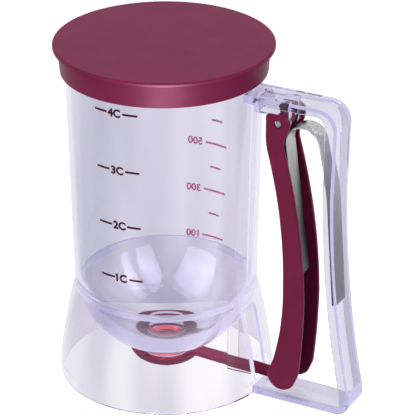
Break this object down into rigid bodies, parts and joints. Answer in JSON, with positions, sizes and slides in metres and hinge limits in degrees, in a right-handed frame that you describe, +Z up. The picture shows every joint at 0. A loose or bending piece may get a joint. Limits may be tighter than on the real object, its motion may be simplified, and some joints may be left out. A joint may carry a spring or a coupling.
{
  "type": "pancake batter dispenser",
  "caption": "Clear batter jug with a press-on lid, and a handle whose trigger swings a valve cup away from the outlet under its bowl.",
  "frame": {"origin": "axis of the tube at the plane the base skirt stands on", "axes": "+Z up along the tube's axis, +X from the tube towards the handle, +Y to the side that carries the millilitre scale, -Y to the side that carries the cup scale"},
  "size_m": [0.1729, 0.117, 0.1907],
  "materials": {
    "lid": "satin",
    "clear_body": "clear plastic, polished",
    "clear_base": "clear plastic, polished",
    "clear_handle": "clear plastic, polished",
    "pin_steel": "plain",
    "spring_steel": "rolled strip",
    "lever": "satin",
    "valve": "satin",
    "seal": "soft silicone"
  },
  "bodies": {
    "jug": {"container": "clear_body", "base_skirt": "clear_base", "handle_frame": "clear_handle", "hinge_pin": "pin_steel", "leaf_spring": "spring_steel"},
    "cap": {"lid": "lid"},
    "trigger": {"trigger_lever": "lever", "valve_arm": "valve", "valve_seal": "seal"}
  },
  "joints": [
    {"name": "lid_lift", "type": "slide", "parent": "jug", "child": "cap", "axis": [0, 0, 1], "range_m": [0, 0.04]},
    {"name": "trigger_squeeze", "type": "hinge", "parent": "jug", "child": "trigger", "pos_m": [0.071, 0, 0.1613], "axis": [0, -1, 0], "range_deg": [0, 7], "stiffness_Nm_per_rad": 2, "springref_deg": -11.46, "deforming": ["leaf_spring"]}
  ]
}
